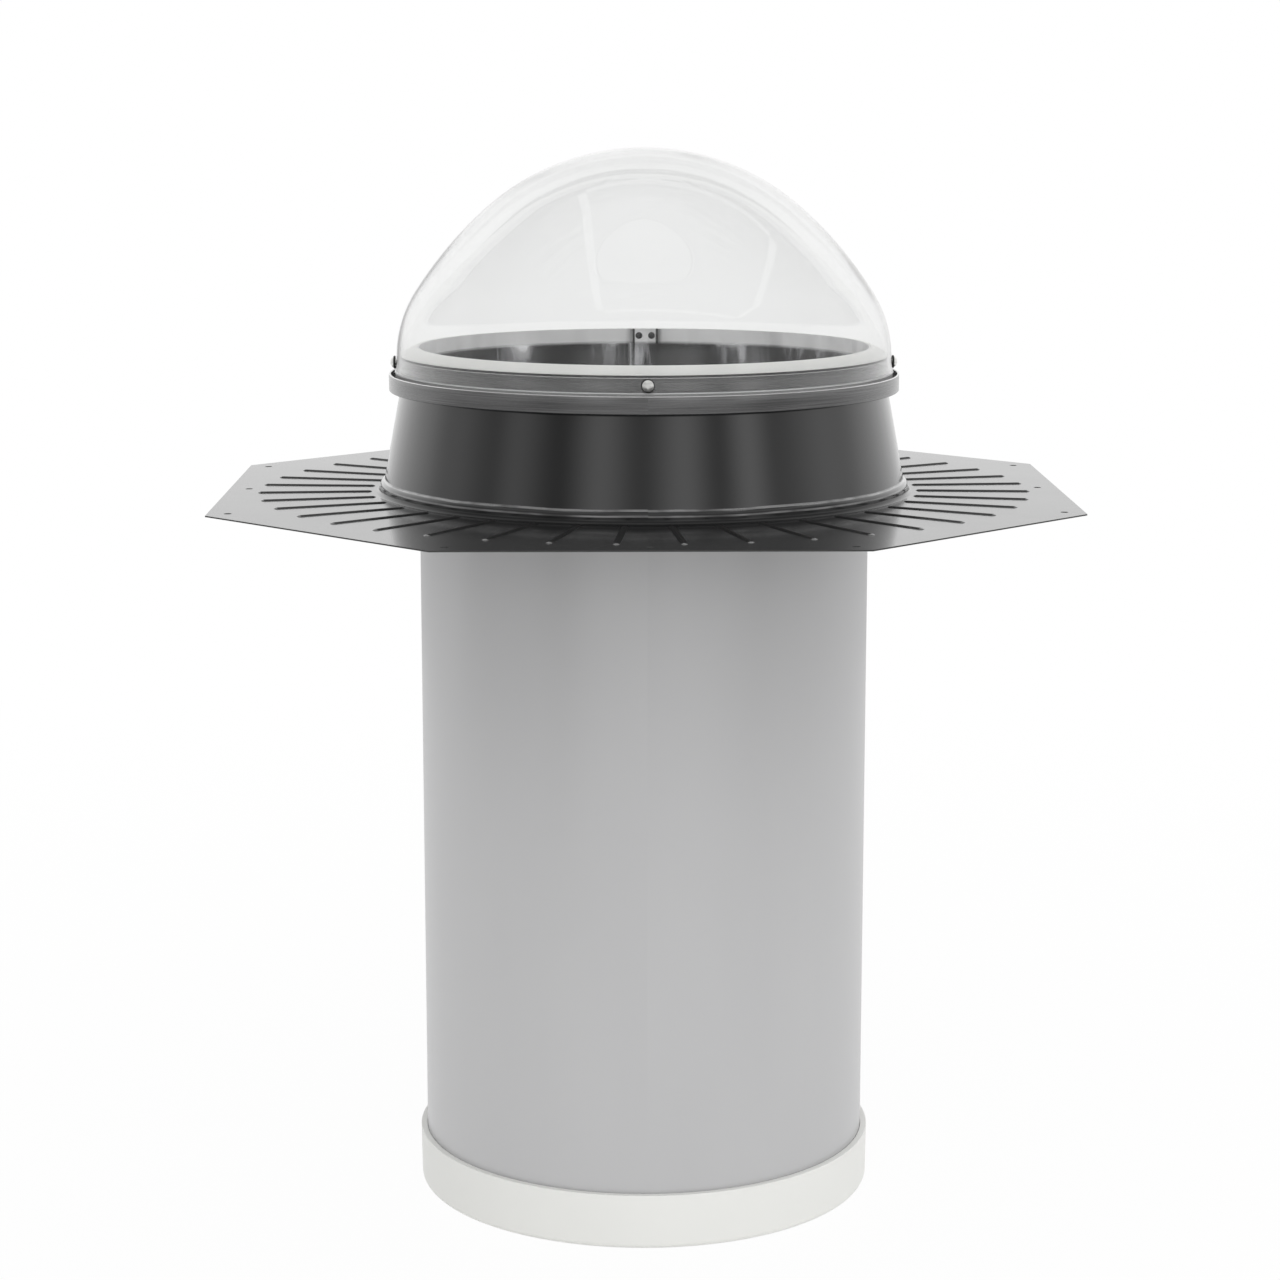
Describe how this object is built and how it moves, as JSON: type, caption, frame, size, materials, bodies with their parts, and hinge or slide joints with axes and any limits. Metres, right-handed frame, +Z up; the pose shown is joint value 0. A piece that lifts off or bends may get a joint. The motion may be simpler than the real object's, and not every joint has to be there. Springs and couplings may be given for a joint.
{
  "type": "tubular skylight",
  "caption": "Tubular skylight: clear acrylic dome on a black conical roof flashing with a beaded cut-corner flange, over a reflective light tube with a white diffuser ring",
  "frame": {"origin": "centre of the ceiling ring's bottom face, which the object stands on", "axes": "+Z up along the tube to the dome; the front screw of the dome is on -Y, and the tube's seam is at the rear on +Y"},
  "size_m": [0.61, 0.61, 0.7734],
  "materials": {
    "clear_acrylic": "clear moulded acrylic, polished",
    "bright_screw": "bright zinc-plated steel",
    "black_rubber": "matt black rubber",
    "grey_ring_metal": "grey finished aluminium with fine lines around it",
    "pile_seal": "dark woven pile",
    "black_foam": "closed-cell foam rubber",
    "white_moulding": "white moulded plastic, satin",
    "dark_rivet": "dark coated steel",
    "black_painted_sheet": "black stove enamel, semi-gloss, on galvanised sheet",
    "tube_aluminium": "satin mill finish outside, mirror film inside",
    "foil_tape": "crinkled aluminium foil tape",
    "spring_wire": "drawn spring wire",
    "clear_pane": "clear acrylic sheet",
    "frosted_pane": "frosted prismatic acrylic"
  },
  "bodies": {
    "root": {"dome": "clear_acrylic", "dome_screws": "bright_screw", "screw_washers": "black_rubber", "dome_ring": "grey_ring_metal", "weather_seal": "pile_seal", "ring_gasket": "black_foam", "rim_seal": "black_foam", "tube_ring": "white_moulding", "rim_rivets": "dark_rivet", "roof_flashing": "black_painted_sheet", "light_tube": "tube_aluminium", "seam_tape": "foil_tape", "ceiling_ring": "white_moulding", "ring_screws": "bright_screw", "retaining_ring": "spring_wire", "upper_pane": "clear_pane", "pane_spacer": "black_foam", "diffuser_pane": "frosted_pane", "pane_gasket": "black_foam"}
  },
  "joints": []
}
